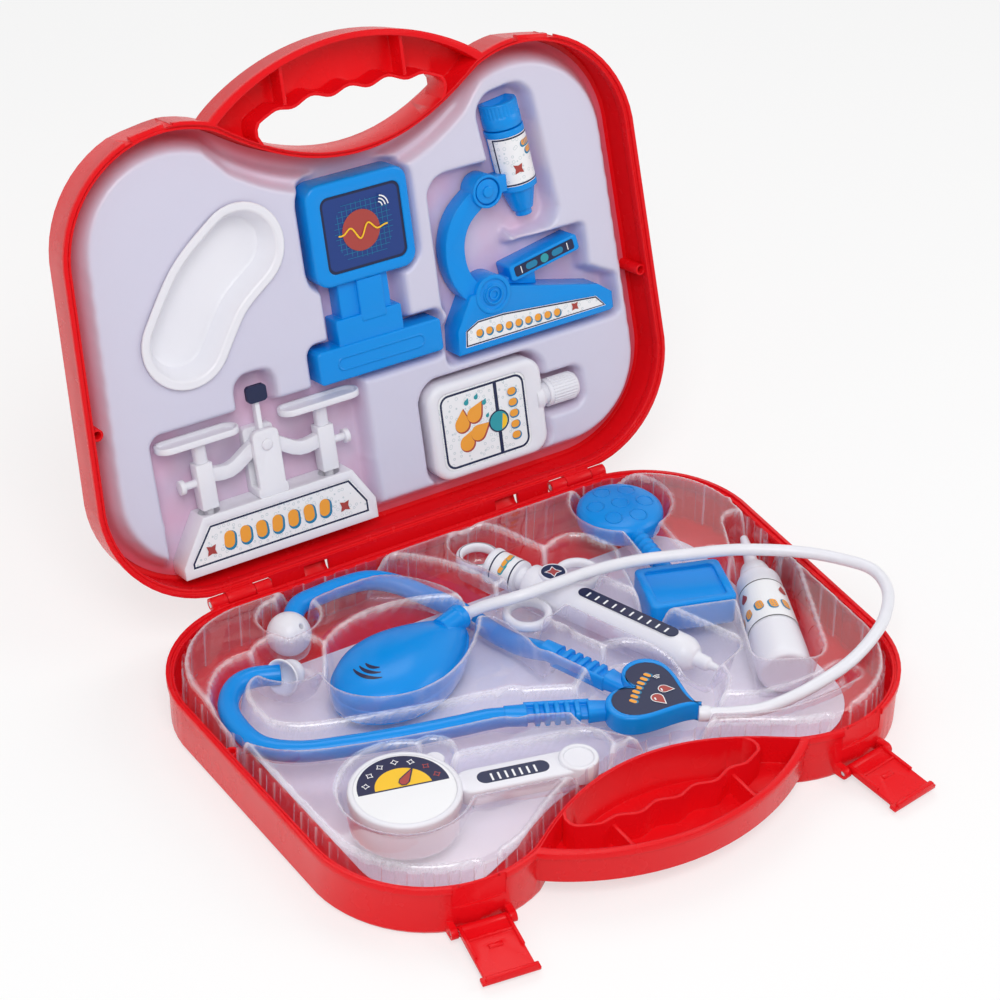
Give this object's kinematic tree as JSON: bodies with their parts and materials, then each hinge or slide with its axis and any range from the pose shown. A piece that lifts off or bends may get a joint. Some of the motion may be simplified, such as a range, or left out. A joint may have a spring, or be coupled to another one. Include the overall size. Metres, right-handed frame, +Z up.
{
  "type": "toy doctor case",
  "caption": "Hinged carry case of moulded plastic, lying open, with formed trays that hold a play doctor set of instruments, bottles and a listening tube.",
  "frame": {"origin": "middle of the flat underside of the base shell", "axes": "+Z up; +Y from the handle side towards the hinge and the open lid; +X along the hinge to the right of someone facing the open case"},
  "size_m": [0.3117, 0.3267, 0.2583],
  "materials": {
    "red_shell": "moulded polypropylene, satin gloss",
    "steel_pin": "drawn wire",
    "card": "white coated card",
    "clear_sheet": "clear thermoformed plastic sheet, stored as clear glass",
    "pale_sheet": "thermoformed plastic sheet, satin",
    "white_plastic": "moulded polypropylene, satin gloss",
    "blue_plastic": "moulded polypropylene, satin gloss",
    "navy_print": "printed gloss sticker",
    "white_print": "printed gloss sticker",
    "hose_vinyl": "soft vinyl tube"
  },
  "bodies": {
    "base": {"base_shell": "red_shell", "hinge_pins": "steel_pin", "latch_pins": "steel_pin", "floor_card": "card", "clear_tray": "clear_sheet", "headset_tubes": "blue_plastic", "ear_tips": "white_plastic", "heart_joint": "blue_plastic", "heart_label": "navy_print", "chest_piece": "blue_plastic", "hose": "hose_vinyl", "syringe_barrel": "white_plastic", "syringe_scale": "navy_print", "syringe_badge": "navy_print", "lamp_head": "blue_plastic", "lamp_grip": "blue_plastic", "spray_bottle": "white_plastic", "spray_nozzle": "white_plastic", "spray_label": "white_print", "gauge_body": "white_plastic", "gauge_face": "navy_print", "gauge_strip": "navy_print", "gauge_cuff": "white_plastic"},
    "lid": {"lid_shell": "red_shell", "lid_tray": "pale_sheet", "kidney_dish": "white_plastic", "monitor_head": "blue_plastic", "monitor_screen": "navy_print", "monitor_stand": "blue_plastic", "microscope_frame": "blue_plastic", "microscope_label": "white_print", "microscope_tube": "blue_plastic", "microscope_tube_label": "white_print", "microscope_eyepiece": "blue_plastic", "microscope_stage": "blue_plastic", "microscope_slide": "navy_print", "balance_base": "white_plastic", "balance_label": "white_print", "balance_post": "white_plastic", "balance_pivot": "white_plastic", "gel_bottle": "white_plastic", "gel_label": "white_print"},
    "left_latch": {"left_latch": "red_shell"},
    "right_latch": {"right_latch": "red_shell"},
    "balance_arm": {"balance_beam": "white_plastic", "balance_pans": "white_plastic", "balance_scale": "navy_print"},
    "plunger": {"syringe_plunger": "white_plastic", "syringe_label": "white_print"},
    "scope_knob": {"microscope_knob": "blue_plastic"},
    "gel_cap": {"gel_cap": "white_plastic"}
  },
  "joints": [
    {"name": "lid_hinge", "type": "hinge", "parent": "base", "child": "lid", "pos_m": [0, 0.11, 0.0255], "axis": [1, 0, 0], "range_deg": [0, 104], "deforming": ["hose"]},
    {"name": "left_latch_hinge", "type": "hinge", "parent": "base", "child": "left_latch", "pos_m": [-0.09731, -0.11149, 0.0045], "axis": [-0.9895, 0.1444, 0], "range_deg": [0, 95]},
    {"name": "right_latch_hinge", "type": "hinge", "parent": "base", "child": "right_latch", "pos_m": [0.09731, -0.11149, 0.0045], "axis": [-0.9895, -0.1444, 0], "range_deg": [0, 95]},
    {"name": "balance_tilt", "type": "hinge", "parent": "lid", "child": "balance_arm", "pos_m": [-0.064, 0.13713, 0.0847], "axis": [0, -0.9703, 0.2419], "range_deg": [-4, 4]},
    {"name": "plunger_push", "type": "slide", "parent": "base", "child": "plunger", "axis": [0.3535, -0.9354, 0], "range_m": [0, 0.005]},
    {"name": "knob_turn", "type": "hinge", "parent": "lid", "child": "scope_knob", "pos_m": [0.066, 0.15817, 0.16911], "axis": [0, -0.9703, 0.2419], "continuous": true},
    {"name": "gel_cap_turn", "type": "hinge", "parent": "lid", "child": "gel_cap", "pos_m": [0.0866, 0.13251, 0.06451], "axis": [1, 0, 0], "continuous": true}
  ]
}
